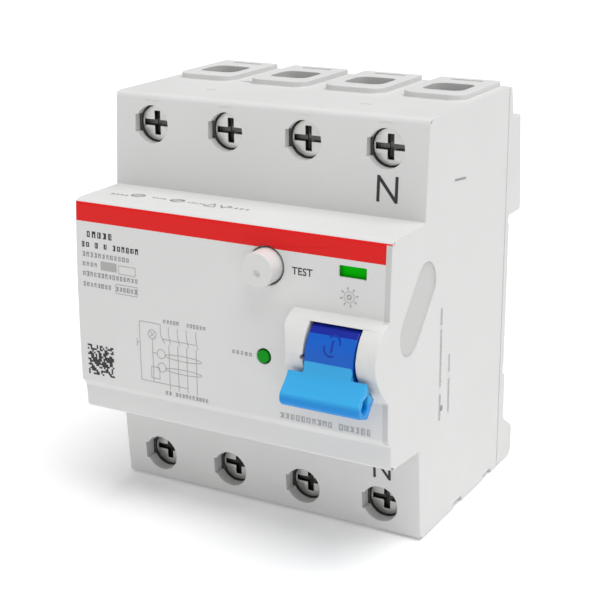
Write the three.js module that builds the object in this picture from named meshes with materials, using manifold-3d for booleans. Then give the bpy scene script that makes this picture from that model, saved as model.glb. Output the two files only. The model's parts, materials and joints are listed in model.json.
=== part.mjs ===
// Four-pole residual current circuit-breaker for a 35 mm DIN rail.
// Millimetres. +X to the right, -Y towards the user, +Z up. The origin lies on the face that seats on
// the rail, at mid-width and mid-height. The toggle is modelled down, with the contacts open.
import * as THREE from 'three';
import { mergeVertices } from 'three/addons/utils/BufferGeometryUtils.js';
import Module from 'manifold-3d';

const wasm = await Module();
wasm.setup();

// ---------------------------------------------------------------- driving dimensions
const GAP = 0.3;                 // clearance between neighbouring pieces
const PITCH = 17.5;              // width of one pole
const HALF_HEIGHT = 42;          // middle to the top or bottom face
const SHOULDER_Y = -42.6;        // front plane of the terminal shoulders, at the nose
const SHOULDER_LEAN = 1.3;       // how far the shoulders lean back towards their outer edge
const NOSE_DEPTH = 14.9;         // how far the nose stands in front of the shoulders
const NOSE_TOP = 22.9;
const NOSE_BOTTOM = -22.1;
const WALL = 1.9;
const SEAM_Y = -2.4;             // rear edge of the front cover
const CORNER = 1.4;              // rounding of the outer edges that run along X

const RAIL_TOP = 14.7;           // upper edge of the rail
const RAIL_WIDTH = 35;
const FOOT_DEPTH = 6.3;          // feet behind the rail seat
const CLIP_WIDTH = 10;
const CLIP_THICK = 2.6;
const CLIP_X = 17.5;
const HOOK_GRIP = 1.3;           // how far hooks and clips reach behind the rail

const SCREW_INSET = 6.2;         // terminal screw axis to the top or bottom face
const SCREW_RECESS = 2.7;        // screw head below the shoulder
const HEAD_R = 3.65;
const HEAD_THICK = 2.5;
const SHANK_R = 2.3;
const CAGE_WIDTH = 10;
const CAGE_WALL = 1.2;
const CAGE_HEIGHT = 7.6;
const CAGE_LIFT = 6.4;           // travel of a cage, from open to clamped
const TONGUE_WIDTH = 6;
const TONGUE_THICK = 2;
const WIRE_DEPTH = 9.2;          // clear space behind the tongue with the cage open

const COLLAR_WIDTH = 13.4;
const COLLAR_RISE = 1.2;
const COLLAR_FRONT = -22.2;
const COLLAR_CORNER = 3.4;

const ARCH_LEFT = 15.2;
const CHEEK_WALL = 1.2;          // around the spring, in the arch's left cheek
const WINDOW_LEFT = 20.1;
const WINDOW_RIGHT = 30.9;
const TOGGLE_SET_BACK = 1.2;      // toggle axis behind the foremost line of the nose
const TOGGLE_Z = 0.4;
const DRUM_R = 6.7;
const DRUM_WALL = 1.2;
const PIN_R = 1.2;
const BAR_WIDTH = 16.3;
const BAR_CLEARANCE = 0.7;        // back of the bar in front of the drum
const CRANK_R = 4.4;
const LINK_R = 0.7;

const SHAFT_Y = -27;             // axis of the contact carrier
const SHAFT_Z = 2;
const SHAFT_R = 1.5;
const CARRIER_R = 4.5;
const OPEN_ANGLE = 16;           // degrees between open and closed contacts
const ARM_LENGTH = 17;
const ARM_WIDTH = 4;
const ARM_THICK = 1.6;
const CARRIER_CRANK_R = 12.5;
const CONTACT_R = 1.8;
const CONTACT_THICK = 0.9;

const BUTTON_X = 9.2;
const BUTTON_Z = 15;
const BUTTON_R = 3.4;
const BUTTON_PROUD = 3.6;
const LIGHT_X = 8.7;
const LIGHT_Z = -2.8;
const LIGHT_R = 1.25;
const FLAG_X = 27.2;
const FLAG_WINDOW_WIDTH = 5.6;
const FLAG_WINDOW_HEIGHT = 2.15;
const FLAG_Z = 16.1;
const FLAG_TRAVEL = 3.2;
const FLAG_DEPTH = 1.6;          // flag behind the foremost line of the nose
const FLAG_THICK = 1;
const FLAG_BELOW = 2.6;          // flag below the middle of its window
const FLAG_ABOVE = 4.2;

const CORE_R = 11;
const CORE_BORE_R = 6.6;
const CORE_HEIGHT = 8;
const CORE_Y = -16.8;
const CORE_Z = -17;
const BAR_SIZE = 2.2;            // square section of the primary conductors
const BAR_SPREAD = 2.2;          // conductors from the middle of the core

const BOARD_SET_BACK = 12;        // circuit board behind the inner face of the nose
const BOARD_THICK = 1.6;
const RELAY_X = 4;
const RELAY_Y = -34.5;
const RELAY_DROP = 23.8;          // top of the relay above the lower terminal screws
const PLUNGER_R = 1.2;
const LATCH_X = 16;
const LATCH_LIFT = 4;             // latch pin above the relay
const LATCH_PIN_R = 0.9;

// ---------------------------------------------------------------- worked out from them
const POLES = [-1.5, -0.5, 0.5, 1.5].map((k) => k * PITCH);
const HALF_WIDTH = 2 * PITCH;
const INNER_X = HALF_WIDTH - WALL;
const INNER_Z = HALF_HEIGHT - WALL;
const NOSE_Y = SHOULDER_Y - NOSE_DEPTH;
const NOSE_INNER_Y = NOSE_Y + WALL;
const SHOULDER_INNER_Y = SHOULDER_Y + SHOULDER_LEAN + WALL - 0.9;
const SCREW_Z = HALF_HEIGHT - SCREW_INSET;
const TOGGLE_Y = NOSE_Y + TOGGLE_SET_BACK;
const ARCH_RISE = DRUM_R - TOGGLE_SET_BACK;       // arch front ahead of the nose, level with the drum
const ARCH_HALF = DRUM_R + 1.35;                  // half the arch's height
const WINDOW_TOP = TOGGLE_Z + DRUM_R - 0.3;
const WINDOW_BOTTOM = TOGGLE_Z - DRUM_R - 0.6;
const BOARD_Y = NOSE_INNER_Y + BOARD_SET_BACK;
const SPRING_POST = { x: 5.2, y: NOSE_INNER_Y + 8.2, z: 9.5 };
const RELAY_TOP = RELAY_DROP - SCREW_Z;
const LATCH_Z = RELAY_TOP + LATCH_LIFT;
const HEAD_Y = SHOULDER_Y + 0.3 + SCREW_RECESS;
const TONGUE_Y = -18.2;
const TIP_Y = TONGUE_Y - TONGUE_THICK - GAP;
const BAR_CENTRE = (WINDOW_LEFT + WINDOW_RIGHT) / 2;
const STEM_LEFT = WINDOW_LEFT + 0.4;
const STEM_RIGHT = WINDOW_RIGHT - 0.4;
const HOLE = PIN_R + GAP;
const RAIL_BOTTOM = RAIL_TOP - RAIL_WIDTH;
const FLAG_Y = NOSE_Y + FLAG_DEPTH;
const LATCH_FRONT = RELAY_Y - 2;
const FLAG_HALF = FLAG_WINDOW_WIDTH / 2 + 1.2;
const CAGE_Z_END = SCREW_Z - CAGE_HEIGHT / 2;
const CAGE_FRONT = HEAD_Y + HEAD_THICK + CAGE_LIFT + 3;
const CLIP_Y = 1.5;
const CONTACT_Z = SHAFT_Z + ARM_LENGTH;
const FIXED_CONTACT_Y = SHAFT_Y + ARM_THICK / 2 + CONTACT_THICK + 0.1;
const CRANK_ANGLE = 115;         // toggle crank, from +Y, with the toggle down
const DRUM_START = 115;          // upper edge of the drum, just behind the arch's lintel
const CARRIER_CRANK_ANGLE = 110;
const CRANK_SIDE_X = 21.4;
const LINK_X = 23;
const BUTTON_FRONT = NOSE_Y + 0.6 - BUTTON_PROUD;
const STEM_END = SPRING_POST.y - 1.7;

// ---------------------------------------------------------------- solids
function solidOf(geometry) {
  geometry.deleteAttribute('normal');
  geometry.deleteAttribute('uv');
  const merged = mergeVertices(geometry, 1e-5);
  const vertProperties = new Float32Array(merged.attributes.position.array);
  const triVerts = new Uint32Array(merged.index.array);
  return new wasm.Manifold(new wasm.Mesh({ numProp: 3, vertProperties, triVerts }));
}

function geometryOf(solid) {
  const mesh = solid.getMesh();
  const geometry = new THREE.BufferGeometry();
  geometry.setAttribute('position', new THREE.BufferAttribute(new Float32Array(mesh.vertProperties), 3));
  geometry.setIndex(new THREE.BufferAttribute(new Uint32Array(mesh.triVerts), 1));
  geometry.computeVertexNormals();
  return geometry;
}

const join = (solids) => solids.reduce((sum, next) => sum.add(next));
const cut = (solid, tools) => tools.reduce((rest, tool) => rest.subtract(tool), solid);

function box(x0, x1, y0, y1, z0, z1) {
  const geometry = new THREE.BoxGeometry(x1 - x0, y1 - y0, z1 - z0);
  geometry.translate((x0 + x1) / 2, (y0 + y1) / 2, (z0 + z1) / 2);
  return solidOf(geometry);
}

// A prism whose outline lies in the plane of the first two directions and grows along the third.
function prism(shape, right, up, along, start, length, curveSegments = 6) {
  const geometry = new THREE.ExtrudeGeometry(shape, { depth: length, bevelEnabled: false, curveSegments });
  const basis = new THREE.Matrix4().makeBasis(right, up, along);
  geometry.applyMatrix4(basis);
  geometry.translate(along.x * start, along.y * start, along.z * start);
  return solidOf(geometry);
}

const X = new THREE.Vector3(1, 0, 0);
const Y = new THREE.Vector3(0, 1, 0);
const Z = new THREE.Vector3(0, 0, 1);
const FRONT = new THREE.Vector3(0, -1, 0);

const sidePrism = (shape, x0, x1, segments) => prism(shape, Y, Z, X, x0, x1 - x0, segments);
const frontPrism = (shape, y0, y1, segments) => prism(shape, X, Z, FRONT, -y0, y0 - y1, segments);
const topPrism = (shape, z0, z1, segments) => prism(shape, X, Y, Z, z0, z1 - z0, segments);

function polygon(points) {
  return new THREE.Shape(points.map(([a, b]) => new THREE.Vector2(a, b)));
}

// A closed outline that is straight except for rounded corners: each point is [a, b, radius].
function rounded(points) {
  const shape = new THREE.Shape();
  points.forEach(([a, b, radius = 0], i) => {
    const here = new THREE.Vector2(a, b);
    const before = new THREE.Vector2(...points[(i + points.length - 1) % points.length].slice(0, 2));
    const after = new THREE.Vector2(...points[(i + 1) % points.length].slice(0, 2));
    const enter = here.clone().add(before.sub(here).setLength(radius));
    const leave = here.clone().add(after.sub(here).setLength(radius));
    if (i === 0) shape.moveTo(enter.x, enter.y);
    else shape.lineTo(enter.x, enter.y);
    if (radius > 0) shape.quadraticCurveTo(a, b, leave.x, leave.y);
  });
  shape.closePath();
  return shape;
}

function rod(direction, radius, from, to, at, segments = 20) {
  const geometry = new THREE.CylinderGeometry(radius, radius, to - from, segments);
  if (direction === X) geometry.rotateZ(-Math.PI / 2);
  if (direction === Z) geometry.rotateX(Math.PI / 2);
  geometry.translate(...at);
  geometry.translate(...direction.clone().multiplyScalar((from + to) / 2).toArray());
  return solidOf(geometry);
}

// A square or flat bar that follows straight runs parallel to the axes.
function barAlong(points, width, thick) {
  const half = [width / 2, thick / 2, thick / 2];
  const runs = points.slice(1).map((end, i) => {
    const low = end.map((v, k) => Math.min(v, points[i][k]) - half[k]);
    const high = end.map((v, k) => Math.max(v, points[i][k]) + half[k]);
    return box(low[0], high[0], low[1], high[1], low[2], high[2]);
  });
  return join(runs);
}

class Coil extends THREE.Curve {
  constructor(centre, radius, turns, length, tail) {
    super();
    Object.assign(this, { centre, radius, turns, length, tail });
  }

  // The wire winds around X, then leaves along a straight tail.
  getPoint(t) {
    const wound = 0.8;
    const share = Math.min(t / wound, 1);
    const angle = this.turns * 2 * Math.PI * share;
    const point = new THREE.Vector3(
      this.centre[0] + this.length * share,
      this.centre[1] - this.radius * Math.cos(angle),
      this.centre[2] + this.radius * Math.sin(angle),
    );
    const rest = Math.max(t - wound, 0) / (1 - wound);
    return point.add(new THREE.Vector3(0, Math.sin(this.tail[0]), Math.cos(this.tail[0]))
      .multiplyScalar(rest * this.tail[1]));
  }
}

function wire(curve, radius, steps) {
  const section = new THREE.Shape();
  section.absarc(0, 0, radius, 0, 2 * Math.PI);
  return solidOf(new THREE.ExtrudeGeometry(section, {
    steps, curveSegments: 3, bevelEnabled: false, extrudePath: curve,
  }));
}

// ---------------------------------------------------------------- housing
function shellOutline() {
  const top = SHOULDER_Y + SHOULDER_LEAN;
  const noseTopY = NOSE_Y + 1;
  const crease = NOSE_BOTTOM + 6.9;
  const shape = new THREE.Shape();
  shape.moveTo(SEAM_Y, HALF_HEIGHT);
  shape.lineTo(top + CORNER, HALF_HEIGHT);
  shape.quadraticCurveTo(top, HALF_HEIGHT, top, HALF_HEIGHT - CORNER);
  shape.lineTo(SHOULDER_Y, NOSE_TOP);
  shape.lineTo(noseTopY + CORNER + 0.6, NOSE_TOP);
  shape.quadraticCurveTo(noseTopY, NOSE_TOP, noseTopY, NOSE_TOP - CORNER);
  shape.quadraticCurveTo(NOSE_Y - 0.25, 5, NOSE_Y, crease);
  shape.lineTo(NOSE_Y + 1.2, crease - 1.5);
  shape.lineTo(NOSE_Y + 1.4, NOSE_BOTTOM + 1.3);
  shape.quadraticCurveTo(NOSE_Y + 1.5, NOSE_BOTTOM + 0.5, NOSE_Y + 2.3, NOSE_BOTTOM + 0.4);
  shape.lineTo(SHOULDER_Y - 1.1, NOSE_BOTTOM - 0.3);
  shape.lineTo(top - 1.2, CORNER - HALF_HEIGHT);
  shape.quadraticCurveTo(top - 1.2, -HALF_HEIGHT, top - 1.2 + CORNER, -HALF_HEIGHT);
  shape.lineTo(SEAM_Y, -HALF_HEIGHT);
  shape.closePath();
  return shape;
}

function archOutline() {
  const front = NOSE_Y - ARCH_RISE;
  const shape = new THREE.Shape();
  shape.moveTo(NOSE_INNER_Y, ARCH_HALF);
  shape.lineTo(NOSE_Y + 0.4, ARCH_HALF);
  shape.quadraticCurveTo(front + 1.1, ARCH_HALF - 1.05, front, 1.4);
  shape.quadraticCurveTo(front - 0.1, -2.6, NOSE_Y + 0.2, -ARCH_HALF);
  shape.lineTo(NOSE_INNER_Y, -ARCH_HALF);
  shape.closePath();
  return shape;
}

const drumCentre = [0, TOGGLE_Y, TOGGLE_Z];

function arch() {
  const outline = sidePrism(archOutline(), ARCH_LEFT, HALF_WIDTH);
  const cornerCut = 2;
  const bevel = topPrism(polygon([
    [ARCH_LEFT - 1, NOSE_Y + GAP], [ARCH_LEFT - 1, NOSE_Y - ARCH_RISE - 1],
    [ARCH_LEFT + cornerCut, NOSE_Y - ARCH_RISE - 1], [ARCH_LEFT, NOSE_Y - ARCH_RISE + 2],
    [ARCH_LEFT, NOSE_Y + GAP],
  ]), -ARCH_HALF - 1, ARCH_HALF + 1);
  return outline.subtract(bevel);
}

// Everything that the toggle, its axle and its spring need to be free of.
function archCuts() {
  return [
    box(WINDOW_LEFT, WINDOW_RIGHT, NOSE_Y - ARCH_RISE - 1, NOSE_INNER_Y + 1, WINDOW_BOTTOM, WINDOW_TOP),
    rod(X, DRUM_R + GAP, WINDOW_LEFT, WINDOW_RIGHT, drumCentre, 32),
    box(WINDOW_LEFT, WINDOW_RIGHT, TOGGLE_Y, NOSE_INNER_Y + 1, TOGGLE_Z - DRUM_R - GAP, TOGGLE_Z + DRUM_R + GAP),
    rod(X, HOLE, ARCH_LEFT + CHEEK_WALL, WINDOW_RIGHT + WALL, drumCentre),
    rod(X, 4.6, ARCH_LEFT + CHEEK_WALL, WINDOW_LEFT - CHEEK_WALL, drumCentre),
    rod(FRONT, 0.55, -NOSE_Y, 1 - NOSE_Y + ARCH_RISE, [WINDOW_LEFT, 0, TOGGLE_Z + 0.3], 12),
  ];
}

function collar(x) {
  const half = COLLAR_WIDTH / 2;
  return topPrism(rounded([
    [x - half, SEAM_Y], [x - half, COLLAR_FRONT, COLLAR_CORNER],
    [x + half, COLLAR_FRONT, COLLAR_CORNER], [x + half, SEAM_Y],
  ].reverse()), INNER_Z, HALF_HEIGHT + COLLAR_RISE);
}

function wireHole(x, side) {
  const half = CAGE_WIDTH / 2 - CAGE_WALL + 0.6;
  const outer = side * (HALF_HEIGHT + COLLAR_RISE + 1);
  const inner = side * (INNER_Z - 1);
  const front = TONGUE_Y + 0.4;
  const rear = TONGUE_Y + WIRE_DEPTH;
  const corner = 2.6;
  return topPrism(rounded([
    [x - half, front, corner], [x + half, front, corner], [x + half, rear, corner], [x - half, rear, corner],
  ]), Math.min(inner, outer), Math.max(inner, outer));
}

function screwHole(x, side) {
  const z = side * SCREW_Z;
  const radius = HEAD_R + 0.2;
  const notch = 0.15;
  return [
    rod(Y, radius, SHOULDER_Y - 2, HEAD_Y + HEAD_THICK + 1, [x, 0, z], 24),
    box(x - radius - notch, x - radius + 1, SHOULDER_Y - 2, HEAD_Y, z - 1.8, z + 1.8),
    rod(Y, SHANK_R + 1, HEAD_Y, HEAD_Y + HEAD_THICK + 4, [x, 0, z], 16),
  ];
}

function screwChimney(x, side) {
  return rod(Y, HEAD_R + 1.4, SHOULDER_Y + SHOULDER_LEAN, HEAD_Y + HEAD_THICK + 1, [x, 0, side * SCREW_Z], 24);
}

function sideRecess() {
  const ends = [[-41.7, 10.8], [-48.4, 3.2]];
  const radius = 4.4;
  const angle = Math.atan2(ends[1][1] - ends[0][1], ends[1][0] - ends[0][0]);
  const shape = new THREE.Shape();
  shape.absarc(...ends[0], radius, angle + Math.PI / 2, angle - Math.PI / 2 + 2 * Math.PI);
  shape.absarc(...ends[1], radius, angle - Math.PI / 2, angle + Math.PI / 2);
  shape.closePath();
  return sidePrism(shape, HALF_WIDTH - 0.35, HALF_WIDTH + 1, 8);
}

function frontCover() {
  const shell = sidePrism(shellOutline(), -HALF_WIDTH, HALF_WIDTH);
  const hollow = [
    box(-INNER_X, INNER_X, SHOULDER_INNER_Y, SEAM_Y + 1, -INNER_Z, INNER_Z),
    box(-INNER_X, INNER_X, NOSE_INNER_Y, SHOULDER_INNER_Y + 1, NOSE_BOTTOM + WALL + 0.4, NOSE_TOP - WALL),
  ];
  const inside = [
    ...POLES.flatMap((x) => [screwChimney(x, 1), screwChimney(x, -1)]),
    box(SPRING_POST.x - 1.2, SPRING_POST.x, NOSE_INNER_Y - 0.5, SPRING_POST.y + 1, SPRING_POST.z - 1,
      SPRING_POST.z + 1),
    rod(X, 0.8, SPRING_POST.x - 0.5, SPRING_POST.x + 4.6, [0, SPRING_POST.y, SPRING_POST.z], 12),
    box(LATCH_X - 1.4, LATCH_X + 1.4, NOSE_INNER_Y - 0.5, LATCH_FRONT - 3, LATCH_Z - 2.2, LATCH_Z + 1.4),
    ...[[-29, -16], [-29, 14], [0, -16]].map(([x, z]) => (
      box(x - 1, x + 1, NOSE_INNER_Y - 0.5, BOARD_Y - GAP, z - 1, z + 1))),
  ];
  const cuts = [
    ...archCuts(),
    ...POLES.flatMap((x) => [wireHole(x, 1), wireHole(x, -1)]),
    ...POLES.flatMap((x) => [...screwHole(x, 1), ...screwHole(x, -1)]),
    ...POLES.map((x) => box(x - 3.6, x + 3.6, -5.2, -3.9, HALF_HEIGHT - 0.6, HALF_HEIGHT + 3)),
    rod(Y, BUTTON_R + 0.4, NOSE_Y - 1, NOSE_INNER_Y + 1, [BUTTON_X, 0, BUTTON_Z], 28),
    rod(Y, LIGHT_R + GAP, NOSE_Y - 1, NOSE_INNER_Y + 1, [LIGHT_X, 0, LIGHT_Z], 20),
    box(FLAG_X - FLAG_WINDOW_WIDTH / 2, FLAG_X + FLAG_WINDOW_WIDTH / 2, NOSE_Y - 1, NOSE_INNER_Y + 1,
      FLAG_Z - FLAG_WINDOW_HEIGHT / 2, FLAG_Z + FLAG_WINDOW_HEIGHT / 2),
    box(FLAG_X - FLAG_HALF - GAP, FLAG_X + FLAG_HALF + GAP, FLAG_Y - GAP, NOSE_INNER_Y + 1,
      FLAG_Z - FLAG_BELOW - FLAG_TRAVEL - GAP, FLAG_Z + FLAG_ABOVE + GAP),
    sideRecess(),
    box(-HALF_WIDTH - 1, HALF_WIDTH + 1, -26.2, -21.7, -HALF_HEIGHT - 1, 1.0 - HALF_HEIGHT),
    box(-HALF_WIDTH - 1, HALF_WIDTH + 1, -10.2, -5.7, -HALF_HEIGHT - 1, 0.9 - HALF_HEIGHT),
    box(-19.9, -17.1, -32, -31.3, HALF_HEIGHT - 0.8, HALF_HEIGHT + 1),
    box(15.7, 18.5, -32.5, -31.8, HALF_HEIGHT - 0.8, HALF_HEIGHT + 1),
  ];
  const body = cut(shell.add(join(POLES.map(collar))), hollow);
  return cut(join([body, arch(), ...inside]), cuts);
}

function rearOutline() {
  const foot = FOOT_DEPTH;
  return polygon([
    [SEAM_Y + GAP, HALF_HEIGHT], [-1.2, HALF_HEIGHT], [-0.8, HALF_HEIGHT - 0.6], [0.2, HALF_HEIGHT - 5],
    [0.3, HALF_HEIGHT - 6.5], [foot - 2, HALF_HEIGHT - 6.5], [foot - 1.8, HALF_HEIGHT - 7.7],
    [foot, RAIL_TOP + 0.9], [foot - 0.4, RAIL_TOP], [0, RAIL_TOP], [0, RAIL_BOTTOM - 0.5],
    [0.9, RAIL_BOTTOM - 1.2], [0.9, 11 - HALF_HEIGHT], [1.5, 9.9 - HALF_HEIGHT],
    [foot - 1, 7.4 - HALF_HEIGHT], [foot - 0.4, 6.6 - HALF_HEIGHT], [foot - 0.4, 1 - HALF_HEIGHT],
    [foot - 1.4, -HALF_HEIGHT], [SEAM_Y + GAP, -HALF_HEIGHT],
  ].reverse());
}

function rearBase() {
  const rimX = INNER_X - GAP;
  const rimZ = INNER_Z - GAP;
  const rimY = SEAM_Y - 3.4;
  const ribHalf = 0.6;
  const barriers = [-1, 0, 1].flatMap((k) => [-1, 1].map((side) => {
    const z = [side * (CAGE_Z_END + 6), side * rimZ].sort((a, b) => a - b);
    return box(k * PITCH - ribHalf, k * PITCH + ribHalf, -30, SEAM_Y + GAP + 0.5, z[0], z[1]);
  }));
  const postX = [INNER_X - GAP - 1.5, INNER_X - GAP];
  const posts = [1, -1].map((side) => {
    const x = postX.map((v) => side * v).sort((a, b) => a - b);
    return box(x[0], x[1], SHAFT_Y - 3.2, SEAM_Y + GAP + 0.5, SHAFT_Z - 3, SHAFT_Z + 3);
  });
  const hooks = [-1, 1].map((side) => (
    box(side * CLIP_X - 8, side * CLIP_X + 8, 1.4, 3.2, RAIL_TOP - HOOK_GRIP, RAIL_TOP + 0.5)));
  const clipSlots = [-1, 1].map((side) => {
    const x = side * CLIP_X;
    return box(x - CLIP_WIDTH / 2 - GAP, x + CLIP_WIDTH / 2 + GAP, CLIP_Y - GAP, CLIP_Y + CLIP_THICK + GAP,
      -HALF_HEIGHT - 1, 11 - HALF_HEIGHT);
  });
  const reliefs = [[RAIL_TOP - HOOK_GRIP - GAP, RAIL_TOP], [RAIL_BOTTOM - 0.5, RAIL_BOTTOM + HOOK_GRIP + GAP]].map(
    ([low, high]) => box(-HALF_WIDTH - 1, HALF_WIDTH + 1, -GAP, 0.2, low, high));
  const plate = sidePrism(rearOutline(), -HALF_WIDTH, HALF_WIDTH);
  const rim = cut(box(-rimX, rimX, rimY, SEAM_Y + GAP + 0.5, -rimZ, rimZ), [
    box(-rimX + 1.3, rimX - 1.3, rimY - 1, SEAM_Y + GAP, -rimZ + 1.3, rimZ - 1.3)]);
  const coreSeat = cut(
    box(-CORE_R - 2, CORE_R + 2, CORE_Y + 3, SEAM_Y + GAP + 0.5, CORE_Z - 1.5, CORE_Z + 1.5), [
      rod(Z, CORE_R + 1.3, CORE_Z - 3, CORE_Z + 3, [0, CORE_Y, 0], 28)]);
  return cut(join([plate, rim, coreSeat, ...barriers, ...posts, ...hooks]), [
    ...clipSlots,
    ...reliefs,
    rod(X, SHAFT_R + GAP, -INNER_X, INNER_X, [0, SHAFT_Y, SHAFT_Z]),
  ]);
}

function railClip(x) {
  const top = RAIL_BOTTOM + HOOK_GRIP;
  const half = CLIP_WIDTH / 2;
  const profile = polygon([
    [CLIP_Y, top], [CLIP_Y, 0.3 - HALF_HEIGHT], [CLIP_Y + CLIP_THICK, 0.3 - HALF_HEIGHT],
    [CLIP_Y + CLIP_THICK, top - 2], [CLIP_Y + 1, top],
  ]);
  const body = sidePrism(profile, x - half, x + half);
  return body.subtract(box(x - 2.5, x + 2.5, CLIP_Y - 1, CLIP_Y + CLIP_THICK + 1, 2 - HALF_HEIGHT,
    3.4 - HALF_HEIGHT));
}

// ---------------------------------------------------------------- terminals
function terminalScrew(x, side) {
  const z = side * SCREW_Z;
  const head = rod(Y, HEAD_R, HEAD_Y, HEAD_Y + HEAD_THICK, [x, 0, z], 24);
  const shank = rod(Y, SHANK_R, HEAD_Y + HEAD_THICK - 0.5, TIP_Y - 0.1, [x, 0, z], 16);
  const depth = 1.4;
  return cut(head.add(shank), [
    box(x - 3.15, x + 3.15, HEAD_Y - 1, HEAD_Y + depth - 0.3, z - 0.55, z + 0.55),
    box(x - 0.65, x + 0.65, HEAD_Y - 1, HEAD_Y + depth, z - 2.4, z + 2.4),
  ]);
}

function cageClamp(x, side) {
  const half = CAGE_WIDTH / 2;
  const low = side * SCREW_Z - CAGE_HEIGHT / 2;
  const rear = TONGUE_Y + WIRE_DEPTH + CAGE_WALL;
  const front = CAGE_FRONT;
  const outer = box(x - half, x + half, front, rear, low, low + CAGE_HEIGHT);
  return cut(outer, [
    box(x - half + CAGE_WALL, x + half - CAGE_WALL, front + 2, rear - CAGE_WALL, low - 1, low + CAGE_HEIGHT + 1),
    rod(Y, SHANK_R + GAP, front - 1, front + 3, [x, 0, side * SCREW_Z], 16),
  ]);
}

function tongue(x, side, end) {
  const half = TONGUE_WIDTH / 2;
  const z = [side * end, side * (SCREW_Z + CAGE_HEIGHT / 2)].sort((a, b) => a - b);
  return box(x - half, x + half, TONGUE_Y - TONGUE_THICK, TONGUE_Y, z[0], z[1]);
}

function lineTerminal(x) {
  const foot = CONTACT_Z + 1.4;
  return join([
    tongue(x, 1, CONTACT_Z - 1.4),
    box(x - 2.2, x + 2.2, FIXED_CONTACT_Y + CONTACT_THICK, TONGUE_Y, CONTACT_Z - 1.4, foot),
    rod(Y, CONTACT_R, FIXED_CONTACT_Y, FIXED_CONTACT_Y + CONTACT_THICK + 0.4, [x, 0, CONTACT_Z], 14),
  ]);
}

function primaryConductor(x) {
  const outer = Math.abs(x) > PITCH;
  const coreX = Math.sign(x) * BAR_SPREAD;
  const y = CORE_Y + (outer ? BAR_SPREAD : -BAR_SPREAD);
  const under = CORE_Z - CORE_HEIGHT / 2 - 4.4;
  const over = CORE_Z + CORE_HEIGHT / 2 + 4.4;
  const low = CAGE_Z_END - 1.3;
  return join([
    tongue(x, -1, low - 1.6),
    box(x - BAR_SIZE / 2, x + BAR_SIZE / 2, TONGUE_Y - TONGUE_THICK, y + BAR_SIZE / 2, -low, 2 - low),
    barAlong([[x, y, 1 - low], [x, y, under], [coreX, y, under], [coreX, y, over], [x, y, over],
      [x, y, over + 5]], BAR_SIZE, BAR_SIZE),
  ]);
}

// Flexible lead from a conductor's end, behind the carrier, to its contact arm.
function flexibleLead(x) {
  const outer = Math.abs(x) > PITCH;
  const y = CORE_Y + (outer ? BAR_SPREAD : -BAR_SPREAD);
  const start = CORE_Z + CORE_HEIGHT / 2 + 9.4 + BAR_SIZE / 2 + GAP;
  const level = SHAFT_Z + CARRIER_R + 2.4;
  const end = SHAFT_Y + ARM_THICK / 2 + GAP + 0.5;
  return barAlong([[x, y, start + 0.5], [x, y, level], [x, end, level]], 3, 1);
}

// ---------------------------------------------------------------- contact carrier, turning about its shaft
function contactCarrier() {
  const reach = INNER_X - 2 * GAP - 1.7;
  const beam = rod(X, CARRIER_R, -reach, reach, [0, 0, 0], 20);
  const crankX = CRANK_SIDE_X;
  const lean = THREE.MathUtils.degToRad(CARRIER_CRANK_ANGLE - 90 - OPEN_ANGLE);
  const pin = [0, -CARRIER_CRANK_R * Math.sin(lean), CARRIER_CRANK_R * Math.cos(lean)];
  const crank = sidePrism(polygon([
    [-2, 0], [pin[1] - 2.1, pin[2]], [pin[1] - 1.2, pin[2] + 2], [pin[1] + 1.2, pin[2] + 2],
    [pin[1] + 2.1, pin[2]], [2, 0],
  ].reverse()), crankX - 0.8, crankX + 0.8);
  const sockets = POLES.map((x) => (
    box(x - ARM_WIDTH / 2 - GAP, x + ARM_WIDTH / 2 + GAP, -ARM_THICK / 2 - GAP, ARM_THICK / 2 + GAP,
      SHAFT_R + 0.7, CARRIER_R + 1)));
  return cut(beam.add(crank), [
    ...sockets,
    rod(X, SHAFT_R + GAP, -reach - 1, reach + 1, [0, 0, 0], 16),
    rod(X, LINK_R + 0.35, crankX - 2, crankX + 2, pin, 12),
  ]);
}

function movingContact(x) {
  const arm = box(x - ARM_WIDTH / 2, x + ARM_WIDTH / 2, -ARM_THICK / 2, ARM_THICK / 2,
    SHAFT_R + 0.7 + GAP, ARM_LENGTH + CONTACT_R);
  const pad = rod(Y, CONTACT_R, ARM_THICK / 2 - 0.3, ARM_THICK / 2 + CONTACT_THICK, [x, 0, ARM_LENGTH], 14);
  return arm.add(pad);
}

// ---------------------------------------------------------------- toggle, about its own axis
function arcPoints(radius, from, to, steps) {
  return Array.from({ length: steps + 1 }, (_, i) => {
    const angle = THREE.MathUtils.degToRad(from + (to - from) * (i / steps));
    return [radius * Math.cos(angle), radius * Math.sin(angle)];
  });
}

// Outlines of the lever around the toggle axis: each point is [distance beyond the drum, degrees from +Y].
const BAR_FRONT = [[2.296, 204.29], [5.16, 208.73], [5.734, 211.52],
  [6.203, 215.54], [6.078, 219.92], [4.8, 233.13]];
const STEM_FRONT = [[-0.027, 175.27], [0.65, 194.98], [2.296, 204.29], [5.263, 218.21]];
const END_RECESS = [[1.263, 215.29], [3.298, 210.67], [4.704, 215.36], [4.836, 222.54], [3.624, 225.0]];

const beyondDrum = (points) => points.flatMap(([reach, angle]) => arcPoints(DRUM_R + reach, angle, angle, 1)
  .slice(0, 1));

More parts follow.
